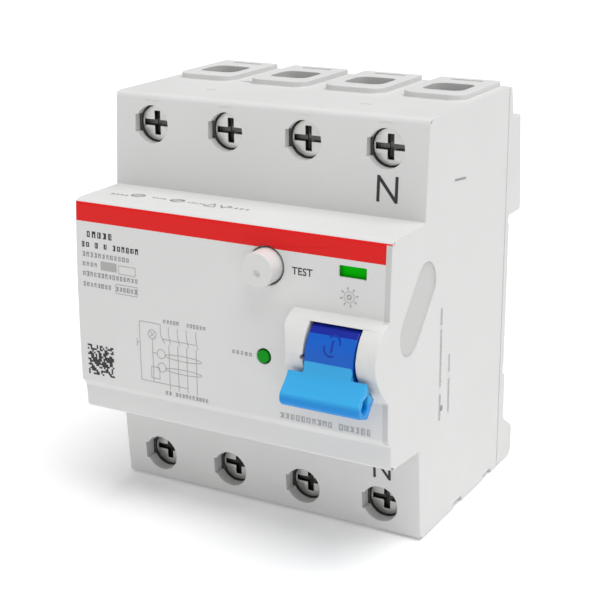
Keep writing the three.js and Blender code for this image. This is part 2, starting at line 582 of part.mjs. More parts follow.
function toggle() {
  const barHalf = BAR_WIDTH / 2;
  const back = arcPoints(DRUM_R + BAR_CLEARANCE, 235, 197.3, 5);
  const bar = sidePrism(polygon([...beyondDrum(BAR_FRONT), ...back]), BAR_CENTRE - barHalf, BAR_CENTRE + barHalf);
  const stem = sidePrism(polygon([
    ...beyondDrum(STEM_FRONT), ...arcPoints(DRUM_R - 0.6, 235, 175, 5),
  ]), STEM_LEFT, STEM_RIGHT);
  const drum = sidePrism(polygon([
    ...arcPoints(DRUM_R, DRUM_START, 282, 18), ...arcPoints(DRUM_R - DRUM_WALL, 282, DRUM_START, 14),
  ]), STEM_LEFT, STEM_RIGHT);
  const hub = rod(X, PIN_R + GAP + 1.1, STEM_LEFT, STEM_RIGHT, [0, 0, 0], 20);
  const disc = polygon([...arcPoints(DRUM_R - 0.2, DRUM_START, 282, 12), [2.4, -1], [1.6, 2]]);
  const discs = [sidePrism(disc, STEM_LEFT, STEM_LEFT + 1.3), sidePrism(disc, STEM_RIGHT - 1.3, STEM_RIGHT)];
  const crank = arcPoints(CRANK_R, CRANK_ANGLE, CRANK_ANGLE, 1)[0];
  const ear = sidePrism(polygon([
    [2.2, 0], [crank[0] + 1.8, crank[1] + 0.4], [crank[0] + 0.4, crank[1] + 1.7], [crank[0] - 1.5, crank[1] + 1],
    [0.8 - DRUM_R, -0.5], [1.1 - DRUM_R, -2.4], [0, -2.2],
  ]), BAR_CENTRE - 0.8, BAR_CENTRE + 0.8);
  const endCut = polygon(beyondDrum(END_RECESS));
  return cut(join([bar, stem, drum, hub, ...discs, ear]), [
    rod(X, HOLE, STEM_LEFT - 1, STEM_RIGHT + 1, [0, 0, 0], 16),
    rod(X, LINK_R + 0.2, BAR_CENTRE - 2, BAR_CENTRE + 2, [0, ...crank], 12),
    sidePrism(endCut, BAR_CENTRE - barHalf - 1, BAR_CENTRE - barHalf + 2),
    sidePrism(endCut, BAR_CENTRE + barHalf - 2, BAR_CENTRE + barHalf + 1),
  ]);
}

// Wire link: an end through the toggle's ear, a shaft beside it, an end through the carrier's crank.
function toggleLink() {
  const carrierAngle = THREE.MathUtils.degToRad(CARRIER_CRANK_ANGLE);
  const toggleAngle = THREE.MathUtils.degToRad(CRANK_ANGLE);
  const a = [TOGGLE_Y + CRANK_R * Math.cos(toggleAngle), TOGGLE_Z + CRANK_R * Math.sin(toggleAngle)];
  const b = [SHAFT_Y + CARRIER_CRANK_R * Math.cos(carrierAngle),
    SHAFT_Z + CARRIER_CRANK_R * Math.sin(carrierAngle)];
  const run = new THREE.Vector3(0, b[0] - a[0], b[1] - a[1]);
  const shaft = new THREE.CylinderGeometry(LINK_R, LINK_R, run.length() + 2 * LINK_R, 12);
  shaft.applyQuaternion(new THREE.Quaternion().setFromUnitVectors(Y, run.clone().normalize()));
  shaft.translate(LINK_X, (a[0] + b[0]) / 2, (a[1] + b[1]) / 2);
  return join([
    solidOf(shaft),
    rod(X, LINK_R, LINK_X, BAR_CENTRE + 1.4, [0, ...a], 12),
    rod(X, LINK_R, CRANK_SIDE_X - 1.4, LINK_X, [0, ...b], 12),
  ]);
}

// ---------------------------------------------------------------- small pieces of the front
function testButton() {
  const z = BUTTON_Z;
  const front = BUTTON_FRONT;
  const flange = NOSE_INNER_Y + 0.4;
  return cut(join([
    rod(Y, BUTTON_R, front, flange + 0.6, [BUTTON_X, 0, z], 28),
    rod(Y, BUTTON_R + 1.1, flange, flange + 1.1, [BUTTON_X, 0, z], 28),
    rod(Y, 1.5, flange + 0.5, STEM_END, [BUTTON_X, 0, z], 14),
  ]), [rod(Y, 0.7, front - 1, front + 0.5, [BUTTON_X, 0, z - 0.6], 10)]);
}

function statusLight() {
  return join([
    rod(Y, LIGHT_R, NOSE_Y - 0.2, BOARD_Y - 2, [LIGHT_X, 0, LIGHT_Z], 20),
    rod(Y, LIGHT_R + 0.7, NOSE_INNER_Y + GAP, NOSE_INNER_Y + 1.1, [LIGHT_X, 0, LIGHT_Z], 20),
  ]);
}

function indicatorFlag() {
  const plate = box(FLAG_X - FLAG_HALF, FLAG_X + FLAG_HALF, FLAG_Y, FLAG_Y + FLAG_THICK,
    FLAG_Z - FLAG_BELOW, FLAG_Z + FLAG_ABOVE);
  return plate.add(box(FLAG_X - 0.8, FLAG_X + 0.8, FLAG_Y + 0.5, FLAG_Y + 4, FLAG_Z - FLAG_BELOW, FLAG_Z - 1));
}

function testSpring() {
  const centre = [SPRING_POST.x + 1, SPRING_POST.y, SPRING_POST.z];
  return wire(new Coil(centre, 1.4, 3.25, 3, [-0.12, 5.2]), 0.3, 40);
}

function toggleSpring() {
  return wire(new Coil([ARCH_LEFT + CHEEK_WALL + 0.5, TOGGLE_Y, TOGGLE_Z], 2.1, 2.25, 1.5, [0.9, 1.6]), 0.3, 40);
}

function circuitBoard() {
  const right = LIGHT_X + 3.6;
  const rear = BOARD_Y + BOARD_THICK;
  return join([
    box(-INNER_X + 2.5, right, BOARD_Y, rear, NOSE_BOTTOM + 4, NOSE_TOP - 4),
    box(LIGHT_X - 1.2, LIGHT_X + 1.2, BOARD_Y - 1.2, BOARD_Y + 0.5, LIGHT_Z - 1, LIGHT_Z + 1),
    box(-20, -12, BOARD_Y - 1.6, BOARD_Y + 0.5, 2, 8),
    box(-26, -22.5, BOARD_Y - 2.2, BOARD_Y + 0.5, -8, -2),
    box(-8, -4, BOARD_Y - 1.3, BOARD_Y + 0.5, -4, 0),
  ]);
}

function testTerminal() {
  const y = BOARD_Y - GAP;
  return box(BUTTON_X - 1.6, BUTTON_X + 1.6, y - 0.8, y, BUTTON_Z - 3.4, BUTTON_Z + 2.6);
}

function boardCapacitor() {
  return rod(Y, 3.6, BOARD_Y + BOARD_THICK + GAP, BOARD_Y + BOARD_THICK + 9.5, [-20, 0, -12], 20);
}

function testResistor() {
  return join([
    rod(Z, 1.9, 8.5, 17, [-24, BOARD_Y + BOARD_THICK + 2.6, 0], 16),
    rod(Z, 0.4, 7, 18.5, [-24, BOARD_Y + BOARD_THICK + 2.6, 0], 8),
  ]);
}

// ---------------------------------------------------------------- residual current sensing and tripping
function transformerCore() {
  return rod(Z, CORE_R, CORE_Z - CORE_HEIGHT / 2, CORE_Z + CORE_HEIGHT / 2, [0, CORE_Y, 0], 36).subtract(
    rod(Z, CORE_BORE_R, CORE_Z - CORE_HEIGHT, CORE_Z + CORE_HEIGHT, [0, CORE_Y, 0], 28));
}

// The sensing coil is wound over a sector of the core, towards the front.
function secondaryWinding() {
  const wound = 0.9;
  const half = CORE_HEIGHT / 2;
  const sector = (inner, outer) => polygon([
    ...arcPoints(outer, 225, 315, 10), ...arcPoints(inner, 315, 225, 10)]);
  const move = (solid) => solid.translate([0, CORE_Y, CORE_Z]);
  const outside = topPrism(sector(CORE_BORE_R - GAP - wound, CORE_R + GAP + wound), -half - GAP - wound,
    half + GAP + wound);
  const ring = rod(Z, CORE_R + GAP, -half - GAP, half + GAP, [0, 0, 0], 36).subtract(
    rod(Z, CORE_BORE_R - GAP, -half - 2, half + 2, [0, 0, 0], 28));
  return move(outside.subtract(ring));
}

function tripRelay() {
  const half = 8;
  const bore = rod(Z, PLUNGER_R + GAP, RELAY_TOP - 8, RELAY_TOP + 1, [RELAY_X, RELAY_Y, 0], 16);
  return box(RELAY_X - half, RELAY_X + half, RELAY_Y - 4.5, RELAY_Y + 4.5, RELAY_TOP - 12, RELAY_TOP)
    .subtract(bore);
}

function relayPlunger() {
  return rod(Z, PLUNGER_R, RELAY_TOP - 7, LATCH_Z - 1.5, [RELAY_X, RELAY_Y, 0], 16);
}

function tripLatch() {
  const y0 = LATCH_FRONT;
  const y1 = LATCH_FRONT + 3.4;
  return join([
    rod(Y, 2.2, y0, y1, [LATCH_X, 0, LATCH_Z], 16),
    box(RELAY_X - 1.5, LATCH_X, y0, y1, LATCH_Z - 1, LATCH_Z + 1),
    box(LATCH_X - 1, LATCH_X + 1, y0, y1, LATCH_Z, LATCH_Z + 11),
  ]).subtract(rod(Y, LATCH_PIN_R + GAP, y0 - 1, y1 + 1, [LATCH_X, 0, LATCH_Z], 12));
}

// ---------------------------------------------------------------- the assembly
const materials = {
  housing: { color: 0xe0e0df, roughness: 0.5 },
  blue: { color: 0x1f86d8, roughness: 0.35 },
  grey: { color: 0x9c9c99, roughness: 0.5 },
  dark: { color: 0x3a3b3d, roughness: 0.6 },
  board: { color: 0x2d6a3d, roughness: 0.6 },
  green: { color: 0x0a8f2c, roughness: 0.3 },
  zinc: { color: 0xbcbdb8, roughness: 0.4, metalness: 1 },
  brass: { color: 0xc9a253, roughness: 0.35, metalness: 1 },
  copper: { color: 0xb87349, roughness: 0.4, metalness: 1 },
  core: { color: 0x4a4a4e, roughness: 0.5 },
};

function piece(name, solid, look) {
  const mesh = new THREE.Mesh(geometryOf(solid), new THREE.MeshStandardMaterial(materials[look]));
  mesh.name = name;
  return mesh;
}

const device = new THREE.Group();
device.add(
  piece('rear_base', rearBase(), 'housing'),
  piece('front_cover', frontCover(), 'housing'),
  piece('rail_clip_left', railClip(-CLIP_X), 'grey'),
  piece('rail_clip_right', railClip(CLIP_X), 'grey'),
  piece('carrier_shaft', rod(X, SHAFT_R, -INNER_X + GAP, INNER_X - GAP, [0, SHAFT_Y, SHAFT_Z], 16), 'zinc'),
  piece('toggle_pin', rod(X, PIN_R, ARCH_LEFT + CHEEK_WALL + GAP, WINDOW_RIGHT + WALL - GAP, drumCentre, 16), 'zinc'),
  piece('toggle_spring', toggleSpring(), 'zinc'),
  piece('toggle_link', toggleLink(), 'zinc'),
  piece('test_button', testButton(), 'grey'),
  piece('test_spring', testSpring(), 'zinc'),
  piece('test_terminal', testTerminal(), 'brass'),
  piece('test_resistor', testResistor(), 'dark'),
  piece('status_light', statusLight(), 'green'),
  piece('indicator_flag', indicatorFlag(), 'green'),
  piece('circuit_board', circuitBoard(), 'board'),
  piece('board_capacitor', boardCapacitor(), 'dark'),
  piece('transformer_core', transformerCore(), 'core'),
  piece('secondary_winding', secondaryWinding(), 'copper'),
  piece('trip_relay', tripRelay(), 'dark'),
  piece('relay_plunger', relayPlunger(), 'zinc'),
  piece('trip_latch', tripLatch(), 'zinc'),
  piece('latch_pin', rod(Y, LATCH_PIN_R, LATCH_FRONT - 3 + GAP, LATCH_FRONT + 4, [LATCH_X, 0, LATCH_Z], 12), 'zinc'),
);

POLES.forEach((x, i) => {
  const pole = i + 1;
  device.add(
    piece(`terminal_screw_top_${pole}`, terminalScrew(x, 1), 'zinc'),
    piece(`terminal_screw_bottom_${pole}`, terminalScrew(x, -1), 'zinc'),
    piece(`cage_clamp_top_${pole}`, cageClamp(x, 1), 'zinc'),
    piece(`cage_clamp_bottom_${pole}`, cageClamp(x, -1), 'zinc'),
    piece(`line_terminal_${pole}`, lineTerminal(x), 'copper'),
    piece(`primary_conductor_${pole}`, primaryConductor(x), 'copper'),
    piece(`flexible_lead_${pole}`, flexibleLead(x), 'copper'),
  );
});

// The carrier and its arms lean forward by the opening angle while the toggle is down.
const rocker = new THREE.Group();
rocker.position.set(0, SHAFT_Y, SHAFT_Z);
rocker.rotation.x = THREE.MathUtils.degToRad(OPEN_ANGLE);
rocker.add(piece('contact_carrier', contactCarrier(), 'dark'));
POLES.forEach((x, i) => rocker.add(piece(`moving_contact_${i + 1}`, movingContact(x), 'copper')));
device.add(rocker);

const lever = new THREE.Group();
lever.position.set(...drumCentre);
lever.add(piece('toggle', toggle(), 'blue'));
device.add(lever);

export default device;
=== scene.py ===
# %% [markdown]
# # A four-pole residual current device
#
# This lesson dresses a finished mechanical model. The frame holds every working piece at its real
# place and size, so the work here is the surface: softened moulding edges, printed marks, plated
# metal and plastics that catch light the way the real ones do.

# %% Load the frame
import math
import json

import bmesh
import bpy
from mathutils import Matrix, Vector
from mathutils.bvhtree import BVHTree


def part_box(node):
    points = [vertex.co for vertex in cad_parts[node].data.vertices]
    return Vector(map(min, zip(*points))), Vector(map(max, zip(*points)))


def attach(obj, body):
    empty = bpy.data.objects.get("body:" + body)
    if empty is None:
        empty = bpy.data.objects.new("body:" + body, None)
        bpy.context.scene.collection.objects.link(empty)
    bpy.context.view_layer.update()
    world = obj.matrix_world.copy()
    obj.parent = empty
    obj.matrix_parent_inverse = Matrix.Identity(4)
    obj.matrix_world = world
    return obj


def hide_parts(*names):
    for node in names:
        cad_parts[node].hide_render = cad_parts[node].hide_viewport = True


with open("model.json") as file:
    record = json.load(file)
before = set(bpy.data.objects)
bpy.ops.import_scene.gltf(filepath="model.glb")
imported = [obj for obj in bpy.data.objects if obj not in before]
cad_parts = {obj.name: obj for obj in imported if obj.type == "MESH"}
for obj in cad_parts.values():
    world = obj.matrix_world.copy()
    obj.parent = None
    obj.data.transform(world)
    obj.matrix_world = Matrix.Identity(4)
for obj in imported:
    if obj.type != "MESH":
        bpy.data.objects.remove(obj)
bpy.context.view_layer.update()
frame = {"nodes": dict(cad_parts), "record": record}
MM = 0.001
record = frame["record"]

# %% [markdown]
# ## Places that the marks and the light refer to
#
# Painted areas have to land on the right faces, so their places come from the boxes of the pieces
# themselves: the cover gives the width and the front, and one screw and the next give the pitch.

# %% Measure the pieces
cover_low, cover_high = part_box("front_cover")
screw_low, screw_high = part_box("terminal_screw_top_1")
HALF_WIDTH = cover_high.x
BODY_BOTTOM = cover_low.z
ARCH_FRONT = cover_low.y
NOSE_FRONT = ARCH_FRONT + 5.5 * MM
PITCH = abs(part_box("terminal_screw_top_2")[0].x - screw_low.x)
SCREW_X = (screw_low.x + screw_high.x) / 2
SCREW_Z = (screw_low.z + screw_high.z) / 2
HEAD_RADIUS = (screw_high.z - screw_low.z) / 2
print("half width", round(HALF_WIDTH / MM, 2), "mm, pitch", round(PITCH / MM, 2), "mm")
print("height", round((cover_high.z - cover_low.z) / MM, 2), "mm")

# %% Putting an object in the scene


def linked(name, data):
    thing = bpy.data.objects.new(name, data)
    bpy.context.scene.collection.objects.link(thing)
    return thing


def as_plain_mesh(holder):
    """The holder's finished mesh, with its modifiers applied; the holder itself is removed."""
    bpy.context.view_layer.update()
    mesh = bpy.data.meshes.new_from_object(
        holder.evaluated_get(bpy.context.evaluated_depsgraph_get()))
    bpy.data.objects.remove(holder)
    return mesh


# %% [markdown]
# ## Camera
#
# A product picture like this is taken from well back with a long lens, so that the sides stay almost
# parallel. The camera stands to the right and a little above, and is turned by a small roll.

# %% Camera
CAMERA_AZIMUTH = math.radians(29.48)
CAMERA_ELEVATION = math.radians(17.88)
CAMERA_ROLL = math.radians(-0.5)
CAMERA_DISTANCE = 0.309
CAMERA_AIM = Vector((-4.94, -19.2, -4.59)) * MM
CAMERA_LENS = 85.7


def aimed_camera():
    camera = linked("camera", bpy.data.cameras.new("camera"))
    camera.data.lens = CAMERA_LENS
    camera.data.sensor_width = 36
    camera.data.clip_start = 0.01
    back = Vector((
        math.sin(CAMERA_AZIMUTH) * math.cos(CAMERA_ELEVATION),
        -math.cos(CAMERA_AZIMUTH) * math.cos(CAMERA_ELEVATION),
        math.sin(CAMERA_ELEVATION),
    ))
    right = (-back).cross(Vector((0, 0, 1))).normalized()
    up = back.cross(right)
    rolled_right = right * math.cos(CAMERA_ROLL) + up * math.sin(CAMERA_ROLL)
    rolled_up = up * math.cos(CAMERA_ROLL) - right * math.sin(CAMERA_ROLL)
    turn = Matrix((rolled_right, rolled_up, back)).transposed().to_4x4()
    camera.matrix_world = Matrix.Translation(CAMERA_AIM + back * CAMERA_DISTANCE) @ turn
    return camera


bpy.context.scene.camera = aimed_camera()
print("camera at", [round(v, 3) for v in bpy.context.scene.camera.location])

# %% [markdown]
# ## Floor and light
#
# White plastic on a white floor only reads if each face gets a little more or less light than its
# neighbour. A wide lamp above, slightly to the right, makes the top and the right side brightest; one
# panel adds to the right side, a weaker one lifts the front, and the surrounding fills the rest.
# The Standard view transform shows the colours as they are set, so white plastic stays white.

# %% Floor and light
FLOOR_REACH = 4.0
FLOOR_GAP = 0.2 * MM


def pale_floor():
    mesh = bpy.data.meshes.new("floor")
    corners = ((-1, -1), (1, -1), (1, 1), (-1, 1))
    level = BODY_BOTTOM - FLOOR_GAP
    mesh.from_pydata([(x * FLOOR_REACH, y * FLOOR_REACH, level) for x, y in corners], [], [(0, 1, 2, 3)])
    floor = linked("floor", mesh)
    material = bpy.data.materials.new("pale_floor")
    material.use_nodes = True
    shader = material.node_tree.nodes["Principled BSDF"]
    shader.inputs["Base Color"].default_value = (0.93, 0.93, 0.93, 1)
    shader.inputs["Roughness"].default_value = 0.9
    shader.inputs["Emission Color"].default_value = (1, 1, 1, 1)
    shader.inputs["Emission Strength"].default_value = 0.12
    mesh.materials.append(material)


def soft_panel(name, place, size, power, aim=Vector((0, -0.02, 0))):
    light = bpy.data.lights.new(name, "AREA")
    light.shape = "SQUARE"
    light.size = size
    light.energy = power
    lamp = linked(name, light)
    lamp.location = place
    lamp.rotation_euler = (aim - Vector(place)).to_track_quat("-Z", "Y").to_euler()


def surrounding(strength):
    world = bpy.data.worlds.new("studio")
    world.use_nodes = True
    background = world.node_tree.nodes["Background"]
    background.inputs["Color"].default_value = (1, 1, 1, 1)
    background.inputs["Strength"].default_value = strength
    bpy.context.scene.world = world


def overcast(direction, strength, spread):
    light = bpy.data.lights.new("overcast", "SUN")
    light.energy = strength
    light.angle = math.radians(spread)
    lamp = linked("overcast", light)
    lamp.rotation_euler = Vector(direction).to_track_quat("Z", "Y").to_euler()


pale_floor()
overcast((0.26, -0.02, 0.95), 2.55, 50)
soft_panel("key_right", (0.9, -0.15, 0.4), 0.7, 0.6)
soft_panel("fill_front", (-0.4, -0.9, 0.35), 0.7, 0.9)
surrounding(0.38)
bpy.context.scene.view_settings.view_transform = "Standard"

# %% [markdown]
# ## Moulded plastic
#
# Moulded plastic is never one flat colour. The spark-eroded texture of the tool breaks up the
# highlight, and the resin varies a little. Both follow Object coordinates, so they stay on the piece.

# %% Material helpers


def material_base(name, colour, roughness, metallic=0.0):
    material = bpy.data.materials.new(name)
    material.use_nodes = True
    shader = material.node_tree.nodes["Principled BSDF"]
    shader.inputs["Base Color"].default_value = (*colour, 1)
    shader.inputs["Roughness"].default_value = roughness
    shader.inputs["Metallic"].default_value = metallic
    return material, material.node_tree, shader


def object_noise(tree, scale, detail=3.0, stretch=(1, 1, 1)):
    place = tree.nodes.new("ShaderNodeTexCoord")
    mapping = tree.nodes.new("ShaderNodeMapping")
    mapping.inputs["Scale"].default_value = stretch
    noise = tree.nodes.new("ShaderNodeTexNoise")
    noise.inputs["Scale"].default_value = scale
    noise.inputs["Detail"].default_value = detail
    tree.links.new(place.outputs["Object"], mapping.inputs["Vector"])
    tree.links.new(mapping.outputs["Vector"], noise.inputs["Vector"])
    return noise


def add_bump(tree, shader, height, distance, strength):
    bump = tree.nodes.new("ShaderNodeBump")
    bump.inputs["Distance"].default_value = distance
    bump.inputs["Strength"].default_value = strength
    tree.links.new(height, bump.inputs["Height"])
    tree.links.new(bump.outputs["Normal"], shader.inputs["Normal"])


def vary(tree, shader, socket, noise, low, high):
    spread = tree.nodes.new("ShaderNodeMapRange")
    spread.inputs["To Min"].default_value = low
    spread.inputs["To Max"].default_value = high
    tree.links.new(noise.outputs["Fac"], spread.inputs["Value"])
    tree.links.new(spread.outputs["Result"], shader.inputs[socket])


def colour_between(tree, shader, noise, first, second):
    ramp = tree.nodes.new("ShaderNodeValToRGB")
    ramp.color_ramp.elements[0].position = 0.35
    ramp.color_ramp.elements[0].color = (*first, 1)
    ramp.color_ramp.elements[1].position = 0.65
    ramp.color_ramp.elements[1].color = (*second, 1)
    tree.links.new(noise.outputs["Fac"], ramp.inputs["Fac"])
    tree.links.new(ramp.outputs["Color"], shader.inputs["Base Color"])
    return ramp


def moulded(name, colour, roughness, grain=0.02, gloss=0.3):
    material, tree, shader = material_base(name, colour, roughness)
    shader.inputs["Specular IOR Level"].default_value = gloss
    cloud = object_noise(tree, 60, 4)
    darker = tuple(v * 0.975 for v in colour)
    colour_between(tree, shader, cloud, darker, colour)
    vary(tree, shader, "Roughness", cloud, roughness - 0.04, roughness + 0.04)
    fine = object_noise(tree, 5200, 2)
    add_bump(tree, shader, fine.outputs["Fac"], grain * MM, 0.35)
    return material


button_grey = moulded("button_grey", (0.66, 0.66, 0.65), 0.42)
clip_grey = moulded("clip_grey", (0.30, 0.30, 0.30), 0.5)
inner_dark = moulded("inner_dark", (0.045, 0.045, 0.05), 0.5)
light_green = moulded("light_green", (0.0, 0.29, 0.008), 0.45, 0.002, 0.12)
board_green = moulded("board_green", (0.02, 0.13, 0.05), 0.45)
core_grey = moulded("core_grey", (0.08, 0.08, 0.09), 0.55)
ink_black = moulded("ink_black", (0.035, 0.035, 0.035), 0.55)
ink_grey = moulded("ink_grey", (0.30, 0.30, 0.30), 0.55)
ink_faint = moulded("ink_faint", (0.40, 0.40, 0.395), 0.55)
print("plastics:", len(bpy.data.materials))

# %% [markdown]
# ## Paint that knows where it is
#
# The red band and the two halves of the contact flag are changes of colour at a fixed place on one
# piece, and so are the painted shade that makes the drum a deeper blue and the painted shade in the
# screw holes. A mask made from the Object coordinate draws them with a crisp edge, and it moves with
# the piece when the lever is thrown.

# %% Masks from Object coordinates


def coordinate(tree, axis):
    place = tree.nodes.new("ShaderNodeTexCoord")
    parts = tree.nodes.new("ShaderNodeSeparateXYZ")
    tree.links.new(place.outputs["Object"], parts.inputs["Vector"])
    return parts.outputs[axis]


def calculate(tree, operation, first, second):
    node = tree.nodes.new("ShaderNodeMath")
    node.operation = operation
    for socket, value in zip(node.inputs, (first, second)):
        if isinstance(value, (int, float)):
            socket.default_value = value
        else:
            tree.links.new(value, socket)
    return node.outputs["Value"]


def between(tree, axis, low, high):
    value = coordinate(tree, axis)
    above = calculate(tree, "GREATER_THAN", value, low)
    below = calculate(tree, "LESS_THAN", value, high)
    return calculate(tree, "MULTIPLY", above, below)


def both_of(tree, first, second):
    return calculate(tree, "MULTIPLY", first, second)


def length_of(tree, across, upward):
    squares = calculate(tree, "ADD", both_of(tree, across, across), both_of(tree, upward, upward))
    return calculate(tree, "SQRT", squares, 0.0)


def distance_from_axle(tree, y, z):
    across = calculate(tree, "SUBTRACT", coordinate(tree, "Y"), y)
    upward = calculate(tree, "SUBTRACT", coordinate(tree, "Z"), z)
    return length_of(tree, across, upward)


def painted(tree, shader, mask, colour):
    base = shader.inputs["Base Color"]
    mix = tree.nodes.new("ShaderNodeMix")
    mix.data_type = "RGBA"
    tree.links.new(mask, mix.inputs["Factor"])
    tree.links.new(base.links[0].from_socket, mix.inputs["A"])
    mix.inputs["B"].default_value = (*colour, 1)
    tree.links.new(mix.outputs["Result"], base)


def shader_of(material):
    return material.node_tree, material.node_tree.nodes["Principled BSDF"]


STRIPE_LOW = 18.4 * MM
STRIPE_HIGH = 22.25 * MM
STRIPE_RED = (0.70, 0.0, 0.0)
HOLE_SHADE = (0.10, 0.10, 0.098)
RECESS_PAINTED_SHADE = (0.55, 0.55, 0.545)
CORNER = 0.12 * MM
HOLE_GAP = 0.225 * MM
NOTCH_GAP = 0.37 * MM
NOTCH_HALF_HEIGHT = 1.82 * MM
housing_white = moulded("housing_white", (0.68, 0.68, 0.675), 0.5)
printed_white = moulded("printed_white", (0.68, 0.68, 0.675), 0.5)
tree, shader = shader_of(printed_white)
band = between(tree, "Z", STRIPE_LOW, STRIPE_HIGH)
front_only = between(tree, "Y", -0.1, NOSE_FRONT + 2.6 * MM)
inside_width = between(tree, "X", CORNER - HALF_WIDTH, HALF_WIDTH - CORNER)
stripe = both_of(tree, both_of(tree, band, front_only), inside_width)
painted(tree, shader, stripe, STRIPE_RED)


def shade_in_screw_holes(tree):
    """Dark where a hole's wall comes close to the screw's head, and in the notch beside the hole."""
    from_screw = calculate(tree, "SUBTRACT", coordinate(tree, "X"), SCREW_X)
    across = calculate(tree, "WRAP", from_screw, PITCH / 2)
    across.node.inputs[2].default_value = -PITCH / 2
    above_the_middle = calculate(tree, "ABSOLUTE", coordinate(tree, "Z"), 0.0)
    upward = calculate(tree, "SUBTRACT", above_the_middle, SCREW_Z)
    in_hole = calculate(tree, "LESS_THAN", length_of(tree, across, upward), HEAD_RADIUS + HOLE_GAP)
    beside_hole = both_of(tree, calculate(tree, "LESS_THAN", across, -3.0 * MM),
                          calculate(tree, "GREATER_THAN", across, -HEAD_RADIUS - NOTCH_GAP))
    level_with_it = calculate(
        tree, "LESS_THAN", calculate(tree, "ABSOLUTE", upward, 0.0), NOTCH_HALF_HEIGHT)
    in_notch = both_of(tree, beside_hole, level_with_it)
    by_the_head = between(tree, "Y", screw_low.y - 0.5 * MM, screw_high.y)
    return both_of(tree, calculate(tree, "MAXIMUM", in_hole, in_notch), by_the_head)


painted(tree, shader, shade_in_screw_holes(tree), HOLE_SHADE)
# Painted shade: the floor of the recess on the right side is painted a darker white.
recess_floor = between(tree, "X", HALF_WIDTH - 1.2 * MM, HALF_WIDTH - CORNER)
recess_reach = both_of(
    tree, between(tree, "Y", -58 * MM, -33 * MM), between(tree, "Z", -16 * MM, 22 * MM))
painted(tree, shader, both_of(tree, recess_floor, recess_reach), RECESS_PAINTED_SHADE)
print("stripe from", round(STRIPE_LOW / MM, 1), "to", round(STRIPE_HIGH / MM, 1), "mm")

# %% The lever's blue and the painted shade on its drum and under its bar
pin_low, pin_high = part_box("toggle_pin")
AXLE_Y = (pin_low.y + pin_high.y) / 2
AXLE_Z = (pin_low.z + pin_high.z) / 2
DRUM_RADIUS = 6.7 * MM
toggle_blue = moulded("toggle_blue", (0.035, 0.37, 0.72), 0.42, 0.01)
tree, shader = shader_of(toggle_blue)
# Painted shade: the lever is painted a deeper blue from 5.6 mm below the axle downwards, fully from 6.6 mm.
bar_underside_shade = tree.nodes.new("ShaderNodeMapRange")
bar_underside_shade.inputs["From Min"].default_value = AXLE_Z - 5.6 * MM
bar_underside_shade.inputs["From Max"].default_value = AXLE_Z - 6.6 * MM
tree.links.new(coordinate(tree, "Z"), bar_underside_shade.inputs["Value"])
painted(tree, shader, bar_underside_shade.outputs["Result"], (0.0, 0.24, 0.66))
# Painted shade: everything within the drum's radius of the axle is painted a deeper blue, for the shade of
# the window's frame.
from_axle = distance_from_axle(tree, AXLE_Y, AXLE_Z)
near_drum = calculate(tree, "LESS_THAN", from_axle, DRUM_RADIUS + 0.08 * MM)
painted(tree, shader, near_drum, (0.0, 0.10, 0.52))
# Painted shadow: the drum's top, from 4.7 mm above the axle, is painted a dark navy band under the window's
# upper edge.
drum_top_shadow = both_of(tree, near_drum, between(tree, "Z", AXLE_Z + 4.7 * MM, 0.1))
painted(tree, shader, drum_top_shadow, (0.0, 0.012, 0.30))
print("axle at", round(AXLE_Y / MM, 2), round(AXLE_Z / MM, 2))

# %% The contact flag
FLAG_LOW, FLAG_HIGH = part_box("indicator_flag")
flag_green = moulded("flag_green", (0.0, 0.50, 0.0), 0.7, gloss=0.05)
tree, shader = shader_of(flag_green)
painted(tree, shader, between(tree, "Z", FLAG_HIGH.z - 3.0 * MM, FLAG_HIGH.z + MM), (0.62, 0.0, 0.0))
print("flag from", round(FLAG_LOW.z / MM, 2), "to", round(FLAG_HIGH.z / MM, 2), "mm")

# %% [markdown]
# ## Metal
#
# Terminal screws are zinc plated: a bright grey with a faint cloudiness and fine turning marks. The
# copper parts inside are duller. Roughness that varies does more for metal than colour does.

# %% Metals


def metal(name, colour, roughness, scratch=900, stretch=(1, 1, 1)):
    material, tree, shader = material_base(name, colour, roughness, 1.0)
    cloud = object_noise(tree, 260, 5)
    darker = tuple(v * 0.86 for v in colour)
    colour_between(tree, shader, cloud, darker, colour)
    brushed = object_noise(tree, scratch, 4, stretch)
    vary(tree, shader, "Roughness", brushed, roughness - 0.08, roughness + 0.10)
    add_bump(tree, shader, brushed.outputs["Fac"], 0.01 * MM, 0.3)
    return material


zinc_steel = metal("zinc_steel", (0.55, 0.55, 0.53), 0.30)
tree, shader = shader_of(zinc_steel)
# Painted shade: each screw is painted nearly black from 0.3 mm to 2.5 mm behind the front of its head,
# darkening its cross and rim.
shade_below_head_face = between(tree, "Y", screw_low.y + 0.3 * MM, screw_low.y + 2.5 * MM)
painted(tree, shader, shade_below_head_face, (0.09, 0.09, 0.087))
copper = metal("copper", (0.72, 0.33, 0.17), 0.36)
contact_brass = metal("contact_brass", (0.70, 0.50, 0.20), 0.32)
winding_copper = metal("winding_copper", (0.60, 0.20, 0.07), 0.3)
print("materials:", len(bpy.data.materials))

# %% [markdown]
# ## Softened edges
#
# A mould has no knife edges: every corner of the plastic has a radius of a few tenths of a
# millimetre, and those radii catch the light. Each outer piece is copied from the frame, its loose
# triangles are merged and its flat faces joined, and then the sharp edges are rounded. Faces with more
# than four corners are cut up again first, because a bevel tears a large face that has holes in it.
# The shading is then worked out face by face, so that large faces stay flat beside their rounded edges.

# %% A softened copy


